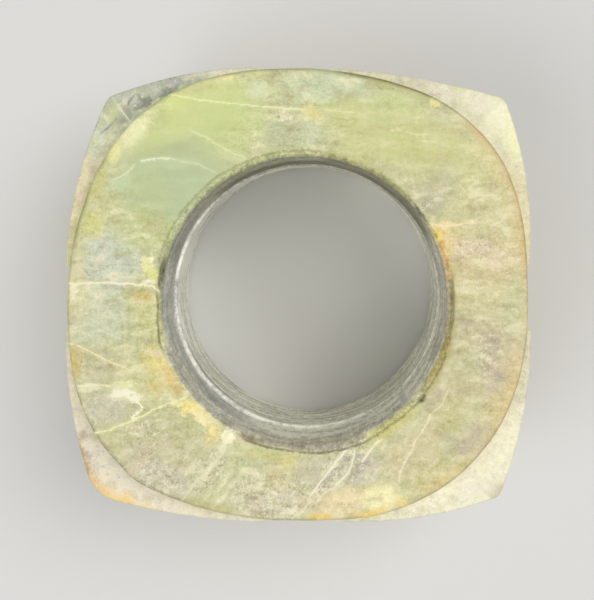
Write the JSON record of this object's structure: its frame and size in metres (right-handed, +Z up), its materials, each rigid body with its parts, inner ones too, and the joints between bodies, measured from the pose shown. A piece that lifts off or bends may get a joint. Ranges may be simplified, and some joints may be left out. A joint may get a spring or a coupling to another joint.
{
  "type": "jade cong",
  "caption": "Squared jade tube with a wide round bore, low rounded collars, a flute down each side and worn corner carving.",
  "frame": {"origin": "middle of the bounding box's footprint, on the plane of the lower collar's face", "axes": "+Z up, along the bore; +X and +Y across the flat sides, to the right and the top seen from above"},
  "size_m": [0.09, 0.0878, 0.05],
  "materials": {
    "jade": "worn polish, mottled yellow-green, grey and amber"
  },
  "bodies": {
    "root": {"jade_cong": "jade"}
  },
  "joints": []
}
